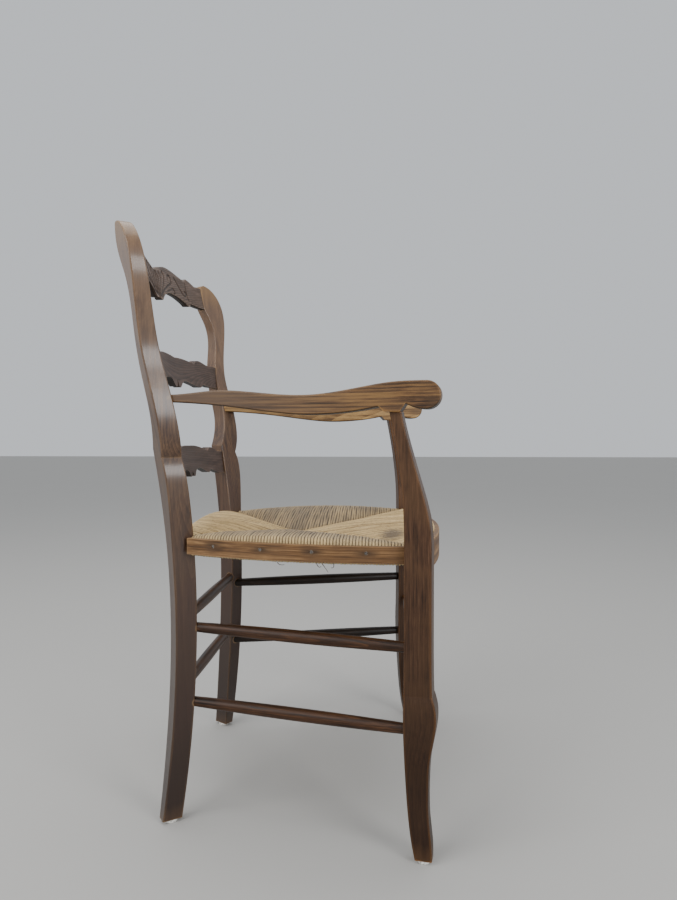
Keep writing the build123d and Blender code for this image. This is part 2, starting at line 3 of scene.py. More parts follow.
import bmesh
import bpy
import numpy as np
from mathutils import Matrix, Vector


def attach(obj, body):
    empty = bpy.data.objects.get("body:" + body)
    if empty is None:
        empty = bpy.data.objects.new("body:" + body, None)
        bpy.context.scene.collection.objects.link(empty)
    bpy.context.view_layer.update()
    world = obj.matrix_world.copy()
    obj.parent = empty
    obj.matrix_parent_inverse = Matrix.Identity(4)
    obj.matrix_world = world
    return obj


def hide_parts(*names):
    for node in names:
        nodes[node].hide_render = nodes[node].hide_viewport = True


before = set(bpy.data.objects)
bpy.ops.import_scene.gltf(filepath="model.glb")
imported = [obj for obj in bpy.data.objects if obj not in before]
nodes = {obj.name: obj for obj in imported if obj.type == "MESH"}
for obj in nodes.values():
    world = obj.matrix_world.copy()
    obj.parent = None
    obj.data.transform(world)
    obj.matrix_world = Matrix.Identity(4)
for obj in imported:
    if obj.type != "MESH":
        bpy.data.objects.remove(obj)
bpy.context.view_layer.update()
mm = 0.001
print("frame loaded,", len(nodes), "pieces")


def linear(colour):  # sRGB hex to the linear colour that a shader takes
    parts = [int(colour[i:i + 2], 16) / 255 for i in (1, 3, 5)]
    return [c / 12.92 if c <= 0.04045 else ((c + 0.055) / 1.055) ** 2.4 for c in parts] + [1.0]


# One node: its properties or sockets are set, then its links are made
def put(tree, kind, settings=None, links=None):
    node = tree.nodes.new(kind)
    for key, value in (settings or {}).items():
        if key == "stops":
            ramp = node.color_ramp.elements
            while len(ramp) < len(value):
                ramp.new(0.5)
            for stop, (place, colour) in zip(ramp, value):
                stop.position, stop.color = place, linear(colour)
        elif isinstance(key, str) and hasattr(node, key):
            setattr(node, key, value)
        else:
            node.inputs[key].default_value = value
    for key, source in (links or {}).items():
        tree.links.new(source if isinstance(source, bpy.types.NodeSocket) else source.outputs[0],
                       node.inputs[key])
    return node


def newTree(name):
    material = bpy.data.materials.new(name)
    material.use_nodes = True
    material.node_tree.nodes.clear()
    return material, material.node_tree


def dress(material, *names):
    for name in names:
        nodes[name].data.materials.clear()
        nodes[name].data.materials.append(material)


# Wood. Rings are measured from a pith line that runs along the grain, so sawn curves cut them into arches.
# Fibres and streaks are noise drawn out along the grain, and edges rubbed by hands and cloths are paler.
waveLength = 0.314  # from ring to ring in a wave texture of scale 1
alongZ = (0.0, 0.0, 0.0)
alongY = (math.pi / 2, 0.0, 0.0)
alongX = (0.0, -math.pi / 2, 0.0)
# the chair widens to its front
alongArm = {"right": (math.pi / 2, -0.19, 0.0), "left": (math.pi / 2, 0.19, 0.0)}
alongBar = {"right": (math.pi / 2, -0.29, 0.0), "left": (math.pi / 2, 0.29, 0.0)}


def woodMaterial(look):
    material, tree = newTree(look["name"])
    place = put(tree, "ShaderNodeTexCoord").outputs["Object"]
    turned = put(tree, "ShaderNodeMapping", {"Rotation": look["turn"], "Location": look["pith"],
                                             "Scale": look.get("squeeze", (1, 1, 1))}, {"Vector": place})
    # fibres are drawn out along the grain, and rings less so
    drawn = put(tree, "ShaderNodeMapping", {"Scale": (1, 1, look.get("draw", 0.05))}, {"Vector": turned})
    arched = put(tree, "ShaderNodeMapping", {"Scale": (1, 1, 0.22)}, {"Vector": turned})
    rings = put(tree, "ShaderNodeTexWave", {
        "wave_type": "RINGS", "rings_direction": "Z", "wave_profile": "SAW",
        "Scale": waveLength / (look["ringMm"] * mm),
        "Distortion": look["waver"], "Detail": 2.0, "Detail Scale": 0.35, "Detail Roughness": 0.55},
        {"Vector": arched})
    fibre = put(tree, "ShaderNodeTexNoise",
                {"Scale": 1 / (look["fibreMm"] * mm), "Detail": 5.0, "Roughness": 0.62},
                {"Vector": drawn})
    streak = put(tree, "ShaderNodeTexNoise",
                 {"Scale": 1 / (look["streakMm"] * mm), "Detail": 3.0, "Roughness": 0.5},
                 {"Vector": drawn})
    blotch = put(tree, "ShaderNodeTexNoise", {"Scale": 1 / (look["blotchMm"] * mm), "Detail": 3.0},
                 {"Vector": place})
    ringPart = put(tree, "ShaderNodeMath", {"operation": "MULTIPLY", 1: look["ringShare"]},
                   {0: rings.outputs["Fac"]})
    fibrePart = put(tree, "ShaderNodeMath", {"operation": "MULTIPLY_ADD", 1: look["fibreShare"]},
                    {0: fibre.outputs["Fac"], 2: ringPart})
    tone = put(tree, "ShaderNodeMath", {"operation": "MULTIPLY_ADD", 1: look["streakShare"]},
               {0: streak.outputs["Fac"], 2: fibrePart})
    grain = put(tree, "ShaderNodeValToRGB", {"stops": look["grain"]}, {"Fac": tone})
    patchy = put(tree, "ShaderNodeMapRange",
                 {"From Min": 0.38, "From Max": 0.64, "To Min": 0.0, "To Max": 1.0},
                 {"Value": blotch.outputs["Fac"]})
    patchShare = put(tree, "ShaderNodeMath", {"operation": "MULTIPLY", 1: look["patchShare"]}, {0: patchy})
    aged = put(tree, "ShaderNodeMix", {"data_type": "RGBA", "blend_type": "MIX", 7: linear(look["patch"])},
               {0: patchShare, 6: grain.outputs["Color"]})
    colour = aged.outputs[2]
    # slow changes of tone along the piece, ragged at their edges: the arms' own tone, and painted light and
    # shade on the posts, legs and left arm
    for axis, start, end, tint, share in look.get("fades", []):
        spot = put(tree, "ShaderNodeSeparateXYZ", links={0: place}).outputs[axis]
        # how far streaks move the fade, and half of it puts the fade back in place
        ragged = (end - start) * 0.8
        rough = put(tree, "ShaderNodeMath", {"operation": "MULTIPLY_ADD", 1: ragged},
                    {0: streak.outputs["Fac"], 2: spot})
        fade = put(tree, "ShaderNodeMapRange", {"From Min": start + ragged / 2, "From Max": end + ragged / 2,
                                                "To Min": 0.0, "To Max": share}, {"Value": rough})
        colour = put(tree, "ShaderNodeMix", {"data_type": "RGBA", "blend_type": "MIX", 7: linear(tint)},
                     {0: fade, 6: colour}).outputs[2]
    # where a rounded normal leaves the true one, the surface turns a corner
    corner = put(tree, "ShaderNodeBevel", {"samples": 6, "Radius": look["wearMm"] * mm})
    faceNormal = put(tree, "ShaderNodeNewGeometry").outputs["Normal"]
    square = put(tree, "ShaderNodeVectorMath", {"operation": "DOT_PRODUCT"}, {0: corner, 1: faceNormal})
    rubbedAndLit = put(tree, "ShaderNodeMapRange",
                 {"From Min": 0.998, "From Max": 0.90, "To Min": 0.0, "To Max": 1.0},
                 {"Value": square.outputs["Value"]})
    uneven = put(tree, "ShaderNodeMapRange",
                 {"From Min": 0.35, "From Max": 0.6, "To Min": 0.25, "To Max": 1.0},
                 {"Value": streak.outputs["Fac"]})
    wear = put(tree, "ShaderNodeMath", {"operation": "MULTIPLY"}, {0: rubbedAndLit, 1: uneven})
    wearShare = put(tree, "ShaderNodeMath", {"operation": "MULTIPLY", 1: look["wearShare"]}, {0: wear})
    colour = put(tree, "ShaderNodeMix", {"data_type": "RGBA", "blend_type": "MIX", 7: linear(look["wear"])},
                 {0: wearShare, 6: colour}).outputs[2]
    for spot in look.get("spots", []):  # dirt drawn along the strip from each nail
        size = look["spotScale"]
        near = put(tree, "ShaderNodeMapping",
                   {"Location": [-s * p for s, p in zip(size, spot)], "Scale": size},
                   {"Vector": place})
        ball = put(tree, "ShaderNodeTexGradient", {"gradient_type": "SPHERICAL"}, {"Vector": near})
        dirt = put(tree, "ShaderNodeMath", {"operation": "MULTIPLY"}, {0: ball.outputs["Fac"], 1: uneven})
        colour = put(tree, "ShaderNodeMix",
                     {"data_type": "RGBA", "blend_type": "MIX", 7: linear(look["smudge"])},
                     {0: dirt, 6: colour}).outputs[2]
    if look.get("under"):  # painted shade: faces that turn downwards are darkened, standing in for the shade beneath the arms, slats and crest
        upward = put(tree, "ShaderNodeSeparateXYZ", links={0: faceNormal}).outputs["Z"]
        below = put(tree, "ShaderNodeMapRange",
                    {"From Min": -0.25, "From Max": -0.75, "To Min": 0.0, "To Max": 0.9},
                    {"Value": upward})
        colour = put(tree, "ShaderNodeMix",
                     {"data_type": "RGBA", "blend_type": "MIX", 7: linear(look["under"])},
                     {0: below, 6: colour}).outputs[2]
    if look.get("cut"):  # dirt that stays in carved lines, from the piece's own attribute
        depth = put(tree, "ShaderNodeAttribute", {"attribute_name": "cut"}).outputs["Fac"]
        colour = put(tree, "ShaderNodeMix",
                     {"data_type": "RGBA", "blend_type": "MIX", 7: linear(look["cut"])},
                     {0: depth, 6: colour}).outputs[2]
    gloss = put(tree, "ShaderNodeMapRange", {"From Min": 0.3, "From Max": 0.7, "To Min": look["gloss"][0],
                                             "To Max": look["gloss"][1]}, {"Value": fibre.outputs["Fac"]})
    relief = put(tree, "ShaderNodeBump", {"Strength": look["relief"], "Distance": 0.0006},
                 {"Height": fibrePart})
    shader = put(tree, "ShaderNodeBsdfPrincipled",
                 {"IOR": 1.5, "Specular IOR Level": look["shine"], "Coat Weight": look["coat"],
                  "Coat Roughness": look.get("coatGloss", 0.3)},
                 {"Base Color": colour, "Roughness": gloss, "Normal": relief})
    put(tree, "ShaderNodeOutputMaterial", links={"Surface": shader})
    return material


# Rear posts: walnut-brown fruitwood, sawn and waxed. Satin sheen, dark streaks along Z, tan arrises.
postLook = {
    "name": "waxedFruitwoodPost", "turn": alongZ, "pith": (0.235, -0.10, 0.0), "ringMm": 3.6, "waver": 3.2,
    "fibreMm": 1.4, "streakMm": 8.0, "blotchMm": 70.0, "ringShare": 0.10, "fibreShare": 0.40,
    "streakShare": 0.50,
    "grain": [(0.38, "#33221a"), (0.47, "#4b3426"), (0.54, "#5c4330"), (0.64, "#74573f")],
    "patch": "#63503f", "patchShare": 0.35, "wear": "#9d7a50", "wearShare": 0.6, "wearMm": 4.0,
    # painted light and shade: the first two fades make the upper post paler, partly worn tone and partly
    # painted light from above; the next two are painted shade, darker towards the floor
    "fades": [(2, 0.62, 0.84, "#86684f", 0.45), (2, 0.895, 0.94, "#a07c4c", 0.45),
              (2, 0.60, 0.30, "#301603", 0.85), (2, 0.30, 0.08, "#200c01", 0.8),
              (2, 0.030, 0.008, "#5a4028", 0.4)],
    "gloss": (0.36, 0.5), "relief": 0.15, "coat": 0.5, "coatGloss": 0.2, "shine": 0.4,
}
dress(woodMaterial(postLook), "rear_post_right", "rear_post_left", "arm_pegs")

# Front legs: the same wood with a darker polish and painted shade towards the floor, orange-brown where it is
# rubbed
legLook = {
    "name": "darkPolishedShadedLeg", "turn": alongZ, "pith": (0.24, 0.27, 0.0), "ringMm": 4.0, "waver": 3.6,
    "fibreMm": 1.4, "streakMm": 7.0, "blotchMm": 45.0, "ringShare": 0.10, "fibreShare": 0.50,
    "streakShare": 0.40,
    "grain": [(0.38, "#28180f"), (0.47, "#3d2819"), (0.54, "#4b3221"), (0.64, "#614530")],
    "patch": "#5a4029", "patchShare": 0.5, "wear": "#93622f", "wearShare": 0.85, "wearMm": 3.5,
    # painted shade: the first fade darkens the leg towards the floor
    "fades": [(2, 0.46, 0.10, "#221003", 0.8), (2, 0.030, 0.008, "#5a4028", 0.4)],
    "gloss": (0.38, 0.52), "relief": 0.15, "coat": 0.08, "shine": 0.25,
}
dress(woodMaterial(legLook), "front_leg_right", "front_leg_left")

# Arms: rubbed bare by hands to golden tan, with dark streaks along the grain
armLook = {
    "name": "rubbedFruitwoodArm", "pith": (0.20, 0.60, 0.0), "ringMm": 4.5, "waver": 3.0,
    "fibreMm": 1.3, "streakMm": 6.0, "blotchMm": 45.0, "ringShare": 0.14, "fibreShare": 0.32,
    "streakShare": 0.60,
    "grain": [(0.40, "#2a190d"), (0.47, "#46301b"), (0.53, "#64462a"), (0.64, "#8a673b")],
    "patch": "#5f472e", "patchShare": 0.3, "wear": "#a5783f", "wearShare": 0.75, "wearMm": 4.0,
    "fades": [(1, -0.13, 0.08, "#5d4a3a", 0.75)],
    # painted shade: the under colour darkens the arm's downward faces
    "gloss": (0.38, 0.54), "relief": 0.18, "coat": 0.08, "shine": 0.35, "under": "#1a100a",
}
paintedLitArm = {  # painted light: the left arm is coloured paler, as far as its rear end, standing in for the light on its inner face
    "grain": [(0.40, "#4e361e"), (0.47, "#775935"), (0.53, "#98764a"), (0.64, "#b8935d")],
    "patch": "#80623f", "fades": [(1, -0.13, 0.08, "#866a49", 0.5)],
}
# painted light: the left arm takes the paler colours
for side, rubbedAndLit in (("right", {}), ("left", paintedLitArm)):
    dress(woodMaterial(dict(armLook, turn=alongArm[side], **rubbedAndLit)), "arm_" + side)

# Slats: dull greyish brown boards whose rings show as curved lines
slatLook = {
    "name": "dullFruitwoodSlat", "turn": alongX, "pith": (0.72, -0.17, 0.0), "ringMm": 3.2, "waver": 4.0,
    "fibreMm": 1.5, "streakMm": 8.0, "blotchMm": 55.0, "ringShare": 0.22, "fibreShare": 0.36,
    "streakShare": 0.42,
    "grain": [(0.36, "#2b201b"), (0.46, "#40312a"), (0.54, "#4e3d34"), (0.66, "#65524a")],
    "patch": "#54443a", "patchShare": 0.35, "wear": "#7f6753", "wearShare": 0.5, "wearMm": 3.0,
    # painted shade: the under colour darkens the downward faces of slats and crest
    "gloss": (0.42, 0.58), "relief": 0.15, "coat": 0.0, "shine": 0.3, "under": "#16100d",
}
dress(woodMaterial(slatLook), "middle_slat", "lower_slat")

# Edge strips: thin orange-brown wood with fine streaks, and dirt smudges by its nails
stripLook = {
    "name": "thinStripSide", "turn": alongY, "squeeze": (0.1, 1, 1), "pith": (0.30, 0.48, 0.0),
    "ringMm": 3.0, "waver": 3.0, "draw": 0.02,
    "fibreMm": 1.3, "streakMm": 6.0, "blotchMm": 28.0, "ringShare": 0.0, "fibreShare": 0.50,
    "streakShare": 0.50,
    "grain": [(0.38, "#442d17"), (0.47, "#68492a"), (0.55, "#85633f"), (0.66, "#a58156")],
    "patch": "#59402a", "patchShare": 0.4, "wear": "#bd976b", "wearShare": 0.6, "wearMm": 2.0,
    # how far a smudge reaches along and up from its nail, and the least distance between nails
    "smudge": "#1f140d", "smudgeLong": 0.022, "smudgeHigh": 0.010, "nailGap": 0.02,
    "gloss": (0.44, 0.6), "relief": 0.18, "coat": 0.0, "shine": 0.35,
}


def nailSpots(node, axis):  # middle of each nail, from its own cluster of points along the strip
    points = np.array([v.co for v in nodes[node].data.vertices])
    points = points[np.argsort(points[:, axis])]
    starts = np.nonzero(np.diff(points[:, axis]) > stripLook["nailGap"])[0] + 1
    return [group.mean(0) for group in np.split(points, starts)]


smudgeAlong, smudgeUp = 1 / stripLook["smudgeLong"], 1 / stripLook["smudgeHigh"]
sideStrip = woodMaterial(dict(stripLook, spots=nailSpots("strip_nails_right", 1),
                              spotScale=(0, smudgeAlong, smudgeUp)))
dress(sideStrip, "edge_strip_right", "edge_strip_left")
frontStripLook = dict(stripLook, name="thinStripFront", turn=alongX, squeeze=(1, 0.1, 1),
                      pith=(0.48, 0.30, 0.0), spots=nailSpots("strip_nails_front", 0),
                      spotScale=(smudgeAlong, 0, smudgeUp))
dress(woodMaterial(frontStripLook), "edge_strip_front")

# Stretchers: turned bars, dark with polish and dirt
stretcherLook = {
    "name": "darkTurnedBarSide", "pith": (0.26, 0.30, 0.0), "ringMm": 3.5, "waver": 2.5,
    "fibreMm": 1.3, "streakMm": 5.0, "blotchMm": 50.0, "ringShare": 0.12, "fibreShare": 0.40,
    "streakShare": 0.48,
    "grain": [(0.38, "#1b1009"), (0.47, "#321f12"), (0.54, "#432a18"), (0.66, "#5f4029")],
    "patch": "#4d341d", "patchShare": 0.4, "wear": "#5e3f24", "wearShare": 0.3, "wearMm": 2.0,
    "gloss": (0.38, 0.52), "relief": 0.18, "coat": 0.05, "shine": 0.25,
}
# painted shade: the left bars are coloured almost black, standing in for the shade under the seat
paintedShadeGrain = [(0.38, "#0d0907"), (0.47, "#17100b"), (0.54, "#20160f"), (0.66, "#33241a")]
for side, grain in (("right", stretcherLook["grain"]), ("left", paintedShadeGrain)):
    bar = woodMaterial(dict(stretcherLook, turn=alongBar[side], grain=grain, patch=grain[2][1]))
    dress(bar, "side_stretcher_upper_" + side, "side_stretcher_lower_" + side)
crossStretcherLook = dict(stretcherLook, name="darkTurnedBarCross", turn=alongX, pith=(0.30, -0.10, 0.0))
dress(woodMaterial(crossStretcherLook), "rear_stretcher_upper", "rear_stretcher_lower", "front_stretcher")

# Rails: plain sawn wood inside the rush
railLook = dict(stripLook, name="plainSawnRail", turn=alongX, squeeze=(1, 1, 1))
dress(woodMaterial(railLook), "seat_rail_front", "seat_rail_rear", "seat_rail_right", "seat_rail_left")
print("wood dressed")

# Nails: small steel heads, dulled and browned by age
nailLook = {"name": "dulledNailSteel", "bright": "#8d8a86", "brown": "#4f4036", "spotMm": 1.2}
nailSteel, tree = newTree(nailLook["name"])
place = put(tree, "ShaderNodeTexCoord").outputs["Object"]
spots = put(tree, "ShaderNodeTexNoise", {"Scale": 1 / (nailLook["spotMm"] * mm), "Detail": 3.0},
            {"Vector": place})
browned = put(tree, "ShaderNodeValToRGB", {"stops": [(0.38, nailLook["brown"]), (0.62, nailLook["bright"])]},
              {"Fac": spots.outputs["Fac"]})
dull = put(tree, "ShaderNodeMapRange", {"To Min": 0.62, "To Max": 0.38}, {"Value": spots.outputs["Fac"]})
steel = put(tree, "ShaderNodeBsdfPrincipled", {"Metallic": 1.0},
            {"Base Color": browned.outputs[0], "Roughness": dull})
put(tree, "ShaderNodeOutputMaterial", links={"Surface": steel})
dress(nailSteel, "strip_nails_right", "strip_nails_left", "strip_nails_front", "glide_nails")

# Glides: moulded white polyethylene, scuffed grey near the floor
glideLook = {"name": "whitePolyethyleneGlide", "clean": "#e6e4de", "scuffed": "#a7a39b", "scuffMm": 3.0}
glidePlastic, tree = newTree(glideLook["name"])
place = put(tree, "ShaderNodeTexCoord").outputs["Object"]
scuffs = put(tree, "ShaderNodeTexNoise", {"Scale": 1 / (glideLook["scuffMm"] * mm), "Detail": 4.0},
             {"Vector": place})
scuffed = put(tree, "ShaderNodeValToRGB",
              {"stops": [(0.36, glideLook["scuffed"]), (0.52, glideLook["clean"])]},
              {"Fac": scuffs.outputs["Fac"]})
matt = put(tree, "ShaderNodeMapRange", {"To Min": 0.6, "To Max": 0.4}, {"Value": scuffs.outputs["Fac"]})
plastic = put(tree, "ShaderNodeBsdfPrincipled", {"IOR": 1.51},
              {"Base Color": scuffed.outputs[0], "Roughness": matt})
put(tree, "ShaderNodeOutputMaterial", links={"Surface": plastic})
dress(glidePlastic, "glide_rear_right", "glide_rear_left", "glide_front_right", "glide_front_left")
print("nails and glides dressed")


def meshPiece(name, points, faces):  # a closed mesh in place, riding on the chair
    mesh = bpy.data.meshes.new(name)
    mesh.from_pydata(points.tolist(), [], faces)
    shape = bmesh.new()
    shape.from_mesh(mesh)
    bmesh.ops.recalc_face_normals(shape, faces=shape.faces)
    shape.to_mesh(mesh)
    shape.free()
    mesh.polygons.foreach_set("use_smooth", [True] * len(mesh.polygons))
    piece = bpy.data.objects.new(name, mesh)
    bpy.context.scene.collection.objects.link(piece)
    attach(piece, "root")
    return piece


# Quads round a closed section of rows points, from column to column, and two end caps
def ringFaces(columns, rows):
    column, row = np.meshgrid(np.arange(columns - 1), np.arange(rows), indexing="ij")
    after = (row + 1) % rows
    quads = np.stack([column * rows + row, column * rows + after,
                      (column + 1) * rows + after, (column + 1) * rows + row], axis=-1)
    last = (columns - 1) * rows
    return quads.reshape(-1, 4).tolist() + [list(range(rows)), list(range(last + rows - 1, last - 1, -1))]


# Rush: cords twisted from dry reed, wound over the rails. Each of the four fields of cords is a section
# carried along its rail: from the seam out to the rim, round the rail and back underneath. Across the cords
# the section swells and narrows as half circles, one for each cord.
rush = {
    "cordMm": 4.8, "ribMm": 1.7, "corner": 0.458, "middle": 0.4405, "under": 0.4254, "seamDip": 0.0026,
    "centre": (0.0, -0.009), "rearCorner": (0.172, 0.135), "frontCorner": (0.2495, -0.206),
    "shoulder": 0.011, "drop": 0.0095, "rearEdge": 0.1633, "stripInset": 0.0082,
    "wobbleMm": 0.6, "unevenMm": 0.5,
    # widths: the least past the shoulder, of the pinch at the seam, and where the stuffing bulges in full
    "leastWidth": 0.002, "seamWidth": 0.0045, "stuffedWidth": 0.1,
    "edgeDip": 0.002, "sinkCurve": 1.25,  # sinking at a field's narrow ends, and its curve from rim to seam
    "ribShape": 0.985, "ribRange": (0.85, 1.1),  # how much of a half circle shows, and how its height varies
    # points across a cord, and of its section on top, round an edge, down the wall and underneath
    "cordSteps": 8, "topSteps": 44, "turnSteps": 7, "wallSteps": 5, "underSteps": 12,
    # how far in new straw shows, and how the cords wander
    "rimReach": 0.05, "swayLength": 0.021, "swayStart": 0.03,
    "rearPast": 0.003,  # the rear field goes on past its corners, towards the posts
}
sideArc = {"start": (-0.203, 0.1383), "end": (-0.2705, -0.2047), "bow": 0.020}
frontArc = {"start": (-0.25, -0.2317), "end": (0.25, -0.2317), "bow": 0.038}


def arcCircle(arc):  # centre and radius of the circle through an arc's ends with its bow
    start, end = np.array(arc["start"]), np.array(arc["end"])
    run = end - start
    chord = np.linalg.norm(run)
    outward = np.array([run[1], -run[0]]) / chord
    radius = (chord ** 2 / 4 + arc["bow"] ** 2) / (2 * arc["bow"])
    return (start + end) / 2 - outward * (radius - arc["bow"]), radius


def cordField(name, along, rim, seam, swell, loose, toPlace, seed, material):
    # section at each place along the rail: distance in from the rim and height, with the way a cord swells
    dice = np.random.RandomState(seed)
    pitch = rush["cordMm"] * mm
    count = max(2, int(round(abs(along[1] - along[0]) / pitch)))
    # closer together in the grooves between cords
    steps = 0.5 - 0.5 * np.cos(np.pi * np.arange(rush["cordSteps"]) / rush["cordSteps"])
    cordPlace = np.concatenate([(np.arange(count)[:, None] + steps[None, :]).ravel(), [count]])
    cord = np.minimum(cordPlace.astype(int), count - 1)
    across = cordPlace - cord
    at = along[0] + (along[1] - along[0]) * cordPlace / count
    rimAt, width = rim(at), np.maximum(np.abs(seam(at) - rim(at)), rush["shoulder"] + rush["leastWidth"])
    # lower at the corners
    top = (rush["corner"] + swell["rim"] * (1 - np.linspace(-1, 1, len(at)) ** 2))[:, None]
    edgeLow = rush["corner"] - rush["edgeDip"]
    low = edgeLow + (rush["middle"] - edgeLow) * np.minimum(1, width / width.max())[:, None]
    # 0 on a cord's crown, -0.83 in a groove
    rib = np.sqrt(np.maximum(0, 1 - (rush["ribShape"] * (2 * across - 1)) ** 2)) - 1
    rib = rib * rush["ribMm"] * mm * dice.uniform(*rush["ribRange"], count)[cord]
    turn = np.linspace(0, np.pi / 2, rush["turnSteps"])[1:]
    share = np.linspace(1, 0, rush["topSteps"])
    shoulder, drop = rush["shoulder"], rush["drop"]
    parts = []  # (distance in, height, swell in, swell up), each by place and section point
    inner = shoulder + (width - shoulder)[:, None] * share[None, :]
    sink = (top - low) * share[None, :] ** rush["sinkCurve"]
    pinch = rush["seamDip"] * np.exp(-((width[:, None] - inner) / rush["seamWidth"]) ** 2)
    # stuffing inside lifts the middle of a wide field
    stuffed = np.minimum(1, width / rush["stuffedWidth"])[:, None]
    bulge = swell["field"] * np.sin(np.pi * share)[None, :] * stuffed
    parts.append((inner, top - sink - pinch + bulge, np.zeros_like(inner), np.ones_like(inner)))
    one = np.ones((len(at), 1))
    parts.append((one * (shoulder * (1 - np.sin(turn))), top - drop * (1 - np.cos(turn)),
                  one * -np.sin(turn), one * np.cos(turn)))
    wall = np.linspace(0, 1, rush["wallSteps"])[1:-1]
    wallTop, wallLow = top - drop, rush["under"] + drop
    parts.append((one * (0 * wall), wallTop + (wallLow - wallTop) * wall, one * (-1 + 0 * wall),
                  one * (0 * wall)))
    parts.append((one * (shoulder * (1 - np.cos(turn))), one * (wallLow - drop * np.sin(turn)),
                  one * -np.cos(turn), one * -np.sin(turn)))
    outShare = np.linspace(0, 1, rush["underSteps"])[1:]
    below = shoulder + (width - shoulder)[:, None] * outShare[None, :]
    parts.append((below, rush["under"] + 0 * below, 0 * below, -1 + 0 * below))
    inward, height, swellIn, swellUp = [np.concatenate([part[k] for part in parts], axis=1) for k in range(4)]
    rows = inward.shape[1]
    rimward = np.clip(1 - inward / rush["rimReach"], 0, 1)
    inward = inward + swellIn * rib[:, None]
    phase = dice.uniform(0, 2 * np.pi, count)[cord][:, None]
    sunk = dice.uniform(-1, 0, count)[cord] * loose * rush["unevenMm"] * mm
    height = height + swellUp * (rib + sunk)[:, None]
    sway = loose * rush["wobbleMm"] * mm * np.sin(inward / rush["swayLength"] + phase)
    sway = sway * np.minimum(1, inward / rush["swayStart"])
    points = toPlace(at[:, None] + sway, rimAt[:, None], inward, height).reshape(-1, 3)
    piece = meshPiece(name, points, ringFaces(len(at), rows))
    # cord number and way across it, 200 on from field to field, and length along the cord in centimetres
    step = np.hypot(np.diff(inward, axis=1), np.diff(height, axis=1))
    length = np.concatenate([np.zeros((len(at), 1)), np.cumsum(step, axis=1)], axis=1) * 100
    number = np.repeat(cordPlace[:, None], rows, axis=1) + 200 * (seed % 5)
    uv = np.stack([number, length], axis=-1).reshape(-1, 2)
    corner = np.empty(len(piece.data.loops), np.int32)
    piece.data.loops.foreach_get("vertex_index", corner)
    piece.data.uv_layers.new(name="cords").data.foreach_set("uv", uv[corner].astype(np.float32).ravel())
    rimShare = piece.data.attributes.new("rimward", "FLOAT", "POINT")
    rimShare.data.foreach_set("value", rimward.astype(np.float32).ravel())
    piece.data.materials.append(material)
    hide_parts("rush_seat")
    return piece


# Shares of chance, reed and patch in the straw's tone, of painted shade and dirt in a groove, and of twist in
# the relief
rushShares = {"chance": 0.16, "reed": 0.55, "patch": 0.5, "groove": 0.95, "twist": 0.35}
twistCm = 0.7  # length of one turn of a cord


